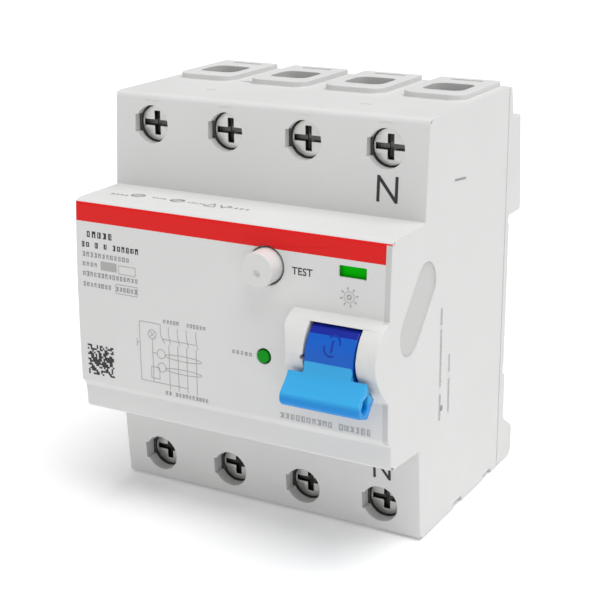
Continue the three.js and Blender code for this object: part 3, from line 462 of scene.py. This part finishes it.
def merged(node):
    mesh = frame["nodes"][node].data.copy()
    shape = bmesh.new()
    shape.from_mesh(mesh)
    bmesh.ops.remove_doubles(shape, verts=shape.verts, dist=0.5e-6)
    bmesh.ops.dissolve_limit(
        shape, angle_limit=math.radians(0.5), use_dissolve_boundaries=False,
        verts=shape.verts, edges=shape.edges)
    wide = [face for face in shape.faces if len(face.verts) > 4]
    bmesh.ops.triangulate(shape, faces=wide, ngon_method="BEAUTY")
    return mesh, shape


TERMINALS = [f"{side}_{pole}" for side in ("top", "bottom") for pole in (1, 2, 3, 4)]
SCREW_BOXES = [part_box("terminal_screw_" + terminal) for terminal in TERMINALS]
SCREWS = [(low + high) / 2 for low, high in SCREW_BOXES]
NEAR_A_SCREW = 5.2 * MM
NOTCH_X = 20.1 * MM
NOTCH_Z = 0.7 * MM


def middle_of(edge):
    return (edge.verts[0].co + edge.verts[1].co) / 2


def beside_a_screw(edge):
    middle = middle_of(edge)
    return any(math.hypot(middle.x - s.x, middle.z - s.z) < NEAR_A_SCREW for s in SCREWS)


def edge_weight(node, edge):
    """How much of the bevel an edge gets: less beside a screw, none in the window's small notch."""
    if node != "front_cover":
        return 1.0
    middle = middle_of(edge)
    if abs(middle.x - NOTCH_X) < 1.0 * MM and abs(middle.z - NOTCH_Z) < 1.2 * MM:
        return 0.0
    return 0.35 if beside_a_screw(edge) else 1.0


def face_weighted(mesh, widest=50.0):
    """Each corner's normal: the mean of the faces around it that lean by less than widest degrees."""
    limit = math.cos(math.radians(widest))
    around = [[] for _ in mesh.vertices]
    for face in mesh.polygons:
        for vertex in face.vertices:
            around[vertex].append((face.normal.copy(), face.area))
    normals = []
    for face in mesh.polygons:
        for vertex in face.vertices:
            total = Vector((0, 0, 0))
            for normal, area in around[vertex]:
                if normal.dot(face.normal) > limit:
                    total += normal * area
            normals.append(total.normalized() if total.length > 0 else face.normal)
    mesh.shade_smooth()
    mesh.normals_split_custom_set(normals)


def softened(node, width, material, body, sharp=26.0):
    mesh, shape = merged(node)
    weights = shape.edges.layers.float.new("bevel_weight_edge")
    for edge in shape.edges:
        if len(edge.link_faces) == 2 and edge.calc_face_angle(0) > math.radians(sharp):
            edge[weights] = edge_weight(node, edge)
    shape.to_mesh(mesh)
    shape.free()
    holder = linked("holder", mesh)
    bevel = holder.modifiers.new("edges", "BEVEL")
    bevel.limit_method = "WEIGHT"
    bevel.width = width
    bevel.segments = 2
    bevel.use_clamp_overlap = False
    rounded = as_plain_mesh(holder)
    face_weighted(rounded)
    rounded.materials.clear()
    rounded.materials.append(material)
    piece = linked(node + "_shell", rounded)
    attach(piece, body)
    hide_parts(node)


softened("front_cover", 0.22 * MM, printed_white, "housing")
softened("rear_base", 0.22 * MM, housing_white, "housing")
softened("toggle", 0.28 * MM, toggle_blue, "toggle_lever")
softened("test_button", 0.25 * MM, button_grey, "button")
softened("rail_clip_left", 0.2 * MM, clip_grey, "clip_left")
softened("rail_clip_right", 0.2 * MM, clip_grey, "clip_right")
for terminal in TERMINALS:
    softened("terminal_screw_" + terminal, 0.14 * MM, zinc_steel, "screw_" + terminal)

# %% Finishes of the frame's own pieces
FINISHES = {
    "clip_grey": clip_grey, "light_green": light_green, "flag_green": flag_green,
    "board_green": board_green, "inner_dark": inner_dark, "core_grey": core_grey,
    "winding_copper": winding_copper, "contact_brass": contact_brass, "copper": copper,
    "zinc_steel": zinc_steel,
}
slot_of = {entry["node"]: entry["material_slot"] for entry in record["subparts"]}
for name, node in frame["nodes"].items():
    if slot_of[name] in FINISHES:
        node.data.materials.clear()
        node.data.materials.append(FINISHES[slot_of[name]])
print("finished nodes:", sum(1 for name in frame["nodes"] if slot_of[name] in FINISHES))

# %% [markdown]
# ## Ink on a curved face
#
# Pad printing lays a film of ink a few hundredths of a millimetre thick on the moulding. Each mark
# is drawn flat, in two dimensions, and then every one of its points is dropped along a straight line
# onto the cover, so that it follows the slight swell of the front.

# %% Dropping flat marks onto the cover
def surface_of(node):
    data = frame["nodes"][node].data
    corners = [tuple(vertex.co) for vertex in data.vertices]
    return BVHTree.FromPolygons(corners, [tuple(face.vertices) for face in data.polygons])


cover_surface = surface_of("front_cover")
INK = 0.03 * MM
VIEWS = {
    "front": (lambda a, b: Vector((a, -0.1, b)), Vector((0, 1, 0))),
    "right": (lambda a, b: Vector((0.1, a, b)), Vector((-1, 0, 0))),
    "top": (lambda a, b: Vector((a, b, 0.1)), Vector((0, 0, -1))),
}


def lay(mesh, view, surface):
    place, direction = VIEWS[view]
    for vertex in mesh.vertices:
        hit = surface.ray_cast(place(vertex.co.x, vertex.co.y), direction)[0]
        vertex.co = hit - direction * INK


def printed(name, sheets, view, material, surface=cover_surface, body="housing"):
    shape = bmesh.new()
    for sheet in sheets:
        lay(sheet, view, surface)
        shape.from_mesh(sheet)
        bpy.data.meshes.remove(sheet)
    mesh = bpy.data.meshes.new(name)
    shape.to_mesh(mesh)
    shape.free()
    mesh.materials.append(material)
    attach(linked(name, mesh), body)


def flat_mesh(points, faces):
    mesh = bpy.data.meshes.new("flat")
    mesh.from_pydata([(a, b, 0) for a, b in points], [], faces)
    return mesh


def panel(a0, a1, b0, b1, step=2.5 * MM):
    columns = max(1, math.ceil((a1 - a0) / step))
    rows = max(1, math.ceil((b1 - b0) / step))
    points = [(a0 + (a1 - a0) * i / columns, b0 + (b1 - b0) * j / rows)
              for j in range(rows + 1) for i in range(columns + 1)]
    wide = columns + 1
    faces = [(j * wide + i, j * wide + i + 1, (j + 1) * wide + i + 1, (j + 1) * wide + i)
             for j in range(rows) for i in range(columns)]
    return flat_mesh(points, faces)


def stroke(path, width, step=2.0 * MM):
    points, faces = [], []
    for (a0, b0), (a1, b1) in zip(path, path[1:]):
        length = math.hypot(a1 - a0, b1 - b0)
        across = Vector((b0 - b1, a1 - a0)) * (width / 2 / length)
        count = max(1, math.ceil(length / step))
        first = len(points)
        for i in range(count + 1):
            middle = Vector((a0 + (a1 - a0) * i / count, b0 + (b1 - b0) * i / count))
            points += [tuple(middle - across), tuple(middle + across)]
        faces += [tuple(first + 2 * i + corner for corner in (0, 2, 3, 1)) for i in range(count)]
    return flat_mesh(points, faces)


def ring_path(a, b, wide, high, count=28, turn=0.0):
    spots = []
    for i in range(count + 1):
        angle = 2 * math.pi * i / count
        da, db = wide * math.cos(angle), high * math.sin(angle)
        spots.append((a + da * math.cos(turn) - db * math.sin(turn),
                      b + da * math.sin(turn) + db * math.cos(turn)))
    return spots


def in_mm(path):
    return [(a * MM, b * MM) for a, b in path]


def frame_path(a0, a1, b0, b1):
    return in_mm([(a0, b0), (a1, b0), (a1, b1), (a0, b1), (a0, b0)])


print("cover faces to print on:", len(frame["nodes"]["front_cover"].data.polygons))

# %% Letters


def lettering(body, a, b, height, weight=0.0, squeeze=1.0):
    curve = bpy.data.curves.new("letters", "FONT")
    curve.body = body
    curve.align_x = "CENTER"
    curve.align_y = "CENTER"
    curve.offset = weight
    curve.resolution_u = 4
    mesh = as_plain_mesh(linked("letters", curve))
    tall = max(v.co.y for v in mesh.vertices) - min(v.co.y for v in mesh.vertices)
    scale = height / tall
    mesh.transform(Matrix.Diagonal((scale * squeeze, scale, 1, 1)))
    mesh.transform(Matrix.Translation((a, b, 0)))
    mesh.materials.clear()
    return mesh


test_word = lettering("TEST", 16.9 * MM, 14.8 * MM, 1.45 * MM, weight=0.012)
printed("letters_front", [test_word], "front", ink_black)
upper_n = lettering("N", 26.9 * MM, 28.05 * MM, 5.0 * MM, squeeze=0.95)
printed("letter_n_top", [upper_n], "front", ink_black)
lower_n = lettering("N", 26.9 * MM, -28.0 * MM, 4.6 * MM, squeeze=0.9)
printed("letter_n_bottom", [lower_n], "front", ink_black)

# %% [markdown]
# ## Small print and the code square
#
# The ratings are too small to read at this distance, and here they say nothing at all: rows of five
# little shapes stand in for the letters. A node tree sets them out along a row from a fixed seed, and
# another keeps a random half of a grid's cells for the square code.

# %% Growing meshes with node trees


def new_tree(name, inputs):
    tree = bpy.data.node_groups.new(name, "GeometryNodeTree")
    tree.interface.new_socket("Geometry", in_out="OUTPUT", socket_type="NodeSocketGeometry")
    for label, kind in inputs:
        tree.interface.new_socket(label, in_out="INPUT", socket_type="NodeSocket" + kind)
    return tree, tree.nodes.new("NodeGroupInput"), tree.nodes.new("NodeGroupOutput")


def grown(tree, values):
    holder = linked("holder", bpy.data.meshes.new("holder"))
    modifier = holder.modifiers.new("nodes", "NODES")
    modifier.node_group = tree
    for item in tree.interface.items_tree:
        if item.in_out == "INPUT" and item.name in values:
            modifier[item.identifier] = values[item.name]
    return as_plain_mesh(holder)


def finish_tree(tree, geometry, group_in, group_out):
    realize = tree.nodes.new("GeometryNodeRealizeInstances")
    colour = tree.nodes.new("GeometryNodeSetMaterial")
    tree.links.new(geometry, realize.inputs["Geometry"])
    tree.links.new(realize.outputs["Geometry"], colour.inputs["Geometry"])
    tree.links.new(group_in.outputs["Material"], colour.inputs["Material"])
    tree.links.new(colour.outputs["Geometry"], group_out.inputs["Geometry"])


def random_value(tree, kind, seed, low=None, high=None, chance=None):
    node = tree.nodes.new("FunctionNodeRandomValue")
    node.data_type = kind
    if chance is not None:
        node.inputs["Probability"].default_value = chance
    if low is not None:
        slot = {"FLOAT_VECTOR": 0, "INT": 4}[kind]
        node.inputs[slot].default_value = low
        node.inputs[slot + 1].default_value = high
    tree.links.new(seed, node.inputs["Seed"])
    return [o for o in node.outputs if o.enabled][0]


def strip(tree, wide, high, columns=2, rows=2):
    grid = tree.nodes.new("GeometryNodeMeshGrid")
    for socket, value in (("Size X", wide), ("Size Y", high), ("Vertices X", columns), ("Vertices Y", rows)):
        grid.inputs[socket].default_value = value
    return grid.outputs["Mesh"]


def without_faces(tree, mesh, low, high):
    """Drops the faces of a grid whose index lies from low to high, which opens a loop or a gap."""
    index = tree.nodes.new("GeometryNodeInputIndex")
    above = calculate(tree, "GREATER_THAN", index.outputs["Index"], low - 0.5)
    below = calculate(tree, "LESS_THAN", index.outputs["Index"], high + 0.5)
    opened = tree.nodes.new("GeometryNodeDeleteGeometry")
    opened.domain = "FACE"
    tree.links.new(mesh, opened.inputs["Geometry"])
    tree.links.new(calculate(tree, "MULTIPLY", above, below), opened.inputs["Selection"])
    return opened.outputs["Geometry"]


def small_print_tree():
    tree, group_in, group_out = new_tree("small_print", [
        ("Columns", "Int"), ("Width", "Float"), ("Letter", "Float"), ("Seed", "Int"),
        ("Material", "Material")])
    grid = tree.nodes.new("GeometryNodeMeshGrid")
    grid.inputs["Size Y"].default_value = 0.0
    grid.inputs["Vertices Y"].default_value = 1
    for label, socket in (("Width", "Size X"), ("Columns", "Vertices X")):
        tree.links.new(group_in.outputs[label], grid.inputs[socket])
    glyphs = []
    for low, high in ((8, 12), (15, 19)):
        glyphs.append(without_faces(tree, strip(tree, 0.66, 0.9, 5, 8), low, high))
    for low, high in ((6, 8), (5, 7), (1, 3)):
        glyphs.append(without_faces(tree, strip(tree, 0.62, 0.9, 4, 6), low, high))
    both = tree.nodes.new("GeometryNodeJoinGeometry")
    for glyph in glyphs:
        single = tree.nodes.new("GeometryNodeGeometryToInstance")
        tree.links.new(glyph, single.inputs["Geometry"])
        tree.links.new(single.outputs["Instances"], both.inputs["Geometry"])
    seed = group_in.outputs["Seed"]
    scatter = tree.nodes.new("GeometryNodeInstanceOnPoints")
    tree.links.new(grid.outputs["Mesh"], scatter.inputs["Points"])
    tree.links.new(both.outputs["Geometry"], scatter.inputs["Instance"])
    tree.links.new(random_value(tree, "BOOLEAN", seed, chance=0.9), scatter.inputs["Selection"])
    scatter.inputs["Pick Instance"].default_value = True
    which = random_value(tree, "INT", seed, 0, len(glyphs) - 1)
    tree.links.new(which, scatter.inputs["Instance Index"])
    size = tree.nodes.new("ShaderNodeVectorMath")
    size.operation = "SCALE"
    uneven = random_value(tree, "FLOAT_VECTOR", seed, (0.7, 0.8, 1.0), (1.0, 1.0, 1.0))
    tree.links.new(uneven, size.inputs[0])
    tree.links.new(group_in.outputs["Letter"], size.inputs["Scale"])
    tree.links.new(size.outputs["Vector"], scatter.inputs["Scale"])
    finish_tree(tree, scatter.outputs["Instances"], group_in, group_out)
    return tree


SMALL_PRINT = small_print_tree()


def small_print(left, right, middle, letter, seed, turn=0.0, dense=0.76):
    """A row of stand-in letters from left to right; turned, the row runs upwards instead."""
    columns = max(2, round((right - left) / (letter * dense)))
    mesh = grown(SMALL_PRINT, {
        "Columns": columns, "Width": (right - left) * MM, "Letter": letter * MM, "Seed": seed,
        "Material": ink_grey})
    mesh.materials.clear()
    mesh.transform(Matrix.Rotation(turn, 4, "Z"))
    along = (left + right) / 2 * MM
    centre = (along, middle * MM) if turn == 0 else (middle * MM, along)
    mesh.transform(Matrix.Translation((*centre, 0)))
    return mesh


def code_square_tree():
    tree, group_in, group_out = new_tree("code_square", [
        ("Cells", "Int"), ("Size", "Float"), ("Seed", "Int"), ("Material", "Material")])
    grid = tree.nodes.new("GeometryNodeMeshGrid")
    for label, sockets in (("Size", ("Size X", "Size Y")), ("Cells", ("Vertices X", "Vertices Y"))):
        for socket in sockets:
            tree.links.new(group_in.outputs[label], grid.inputs[socket])
    thin_out = tree.nodes.new("GeometryNodeDeleteGeometry")
    thin_out.domain = "FACE"
    tree.links.new(grid.outputs["Mesh"], thin_out.inputs["Geometry"])
    dropped = random_value(tree, "BOOLEAN", group_in.outputs["Seed"], chance=0.42)
    tree.links.new(dropped, thin_out.inputs["Selection"])
    finish_tree(tree, thin_out.outputs["Geometry"], group_in, group_out)
    return tree


CODE_SQUARE = code_square_tree()
code = grown(CODE_SQUARE, {"Cells": 18, "Size": 6.5 * MM, "Seed": 5, "Material": ink_black})
code.materials.clear()
code.transform(Matrix.Translation((-29.85 * MM, -10.4 * MM, 0)))
printed("code_square", [code], "front", ink_black)

# %% The rating block, the row on the nose and the text beside it
bold_rows = [small_print(-33.2, -26.6, 15.9, 1.55, 3), small_print(-33.2, -20.2, 13.75, 1.3, 8)]
printed("rating_bold", bold_rows, "front", ink_black)
fine_rows = [
    small_print(-33.1, -22.4, 11.75, 1.15, 11), small_print(-33.1, -30.2, 9.75, 1.0, 12),
    small_print(-33.1, -20.4, 7.75, 1.15, 13), small_print(-33.1, -20.6, 5.55, 1.1, 14)]
printed("rating_fine", fine_rows, "front", ink_grey)
printed("rating_boxes", [panel(-29.0 * MM, -25.1 * MM, 8.9 * MM, 10.7 * MM)], "front", ink_faint)
frames = [frame_path(-24.6, -20.6, 8.7, 10.4), frame_path(-25.4, -20.2, 4.6, 6.5)]
printed("rating_frames", [stroke(path, 0.14 * MM) for path in frames], "front", ink_faint)
printed("light_label", [small_print(2.0, 5.8, -2.95, 0.95, 21)], "front", ink_grey)
printed("lever_label", [small_print(12.6, 31.0, -14.0, 1.5, 22, dense=0.74)], "front", ink_faint)

# %% [markdown]
# ## The circuit diagram
#
# Such a diagram shows four conductors running through the summing rings, the switch above them and
# the test circuit at the side. It is only hair lines, so each is a narrow strip along a path.

# %% Diagram
HAIR = 0.15 * MM
POLES_DRAWN = (-13.0, -10.9, -8.8, -6.6)


def diagram():
    lines = []
    for a in POLES_DRAWN:
        lines.append(stroke(in_mm([(a, -0.5), (a, -2.0)]), HAIR))
        lines.append(stroke(in_mm([(a, -2.0), (a + 0.45, -4.1)]), HAIR))
        lines.append(stroke(in_mm([(a, -4.1), (a, -13.6)]), HAIR))
    lines.append(stroke(in_mm([(-14.6, -3.2), (-6.6, -3.2)]), HAIR))
    for b, high in ((-6.6, 0.55), (-9.4, 0.5)):
        lines.append(stroke(in_mm(ring_path(-9.7, b, 4.3, high)), HAIR))
    test_wire = [(-19.9, -12.6), (-19.9, -0.2), (-14.9, -0.2), (-14.9, -2.4), (-13.9, -4.0)]
    lines.append(stroke(in_mm(test_wire), HAIR))
    lines.append(stroke(in_mm([(-19.9, -12.6), (-8.8, -12.6)]), HAIR))
    lines.append(stroke(in_mm(ring_path(-16.9, -2.6, 0.95, 0.95)), HAIR))
    lines.append(stroke(in_mm([(-17.6, -1.9), (-16.2, -3.3)]), HAIR))
    lines.append(stroke(in_mm([(-17.6, -3.3), (-16.2, -1.9)]), HAIR))
    lines.append(stroke(in_mm([(-16.9, -3.55), (-16.9, -12.6)]), HAIR))
    lines.append(stroke(in_mm(ring_path(-14.9, -6.4, 0.95, 0.95)), HAIR))
    lines.append(stroke(in_mm(ring_path(-14.8, -9.2, 0.95, 0.95)), HAIR))
    lines.append(stroke(in_mm([(-17.0, -6.4), (-15.85, -6.4)]), HAIR))
    lines.append(stroke(frame_path(-17.4, -15.4, -9.4, -11.8), HAIR))
    lines.append(stroke(in_mm([(-20.6, -3.9), (-20.6, -5.6)]), HAIR))
    lines.append(stroke(in_mm([(-20.6, -4.75), (-19.9, -4.75)]), HAIR))
    return lines


printed("diagram_lines", diagram(), "front", ink_faint)
label_rows = [small_print(-13.9, -4.6, 0.55, 0.95, 31), small_print(-13.9, -4.4, -14.4, 0.95, 32)]
printed("diagram_labels", label_rows, "front", ink_grey)

# %% Symbols on the nose, the sun-like mark and the side


def nose_symbols():
    marks = [small_print(-30.2, -27.0, -50.3, 1.1, 41)]
    for a in (-24.8, -15.4):
        marks.append(stroke(in_mm(ring_path(a, -49.2, 1.45, 1.0)), 0.42 * MM))
        marks.append(stroke(in_mm([(a - 1.2, -49.9), (a + 1.2, -48.5)]), 0.4 * MM))
    marks.append(small_print(-21.0, -18.4, -49.3, 0.95, 42))
    marks.append(small_print(-12.6, -9.2, -49.3, 0.95, 43))
    marks.append(stroke(in_mm([(-8.6, -50.3), (-7.4, -48.0), (-6.2, -50.3), (-8.6, -50.3)]), 0.35 * MM))
    marks.append(stroke(in_mm([(-5.8, -48.2), (-4.6, -50.2), (-3.6, -48.2)]), 0.4 * MM))
    marks.append(small_print(-3.2, 0.6, -49.2, 1.2, 44))
    return marks


def sun_mark(a, b):
    marks = [stroke(in_mm(ring_path(a, b, 1.05, 1.05)), 0.12 * MM)]
    marks.append(stroke(in_mm(ring_path(a, b, 0.4, 0.4)), 0.3 * MM))
    for i in range(8):
        angle = math.pi * i / 4 + 0.2
        da, db = math.cos(angle), math.sin(angle)
        ray = [(a + 1.35 * da, b + 1.35 * db), (a + 1.9 * da, b + 1.9 * db)]
        marks.append(stroke(in_mm(ray), 0.3 * MM))
    return marks


def drum_mark(a, b):
    ring = ring_path(a, b, 1.55, 1.75, turn=-0.25)
    marks = [stroke(in_mm(arc), 0.34 * MM, 0.4 * MM) for arc in (ring[2:12], ring[15:25])]
    marks.append(stroke(in_mm([(a, b - 1.0), (a, b + 1.0)]), 0.42 * MM, 0.4 * MM))
    return marks


# The mark on the drum is embossed; its navy strokes are painted shade along the embossing.
emboss_shade_navy = moulded("emboss_shade_navy", (0.0, 0.035, 0.36), 0.4, 0.01)
printed("drum_mark", drum_mark(25.9, 3.5), "front", emboss_shade_navy, surface_of("toggle"), "toggle_lever")
printed("nose_symbols", nose_symbols(), "top", ink_grey)
printed("sun_mark", sun_mark(26.7, 11.5), "front", ink_faint)
side_rows = [
    small_print(-19.0, 3.8, -34.4, 1.0, 51, turn=math.pi / 2, dense=0.7),
    small_print(-18.6, -7.0, -30.2, 1.0, 52, turn=math.pi / 2, dense=0.7)]
printed("side_print", side_rows, "right", ink_faint)
side_marks = [stroke(in_mm([(-29.6, 28.3), (-24.2, 27.7)]), 0.45 * MM)]
side_marks.append(stroke(in_mm([(-33.0, -16.9), (-34.2, -16.9)]), 1.1 * MM))
printed("side_marks", side_marks, "right", ink_grey)
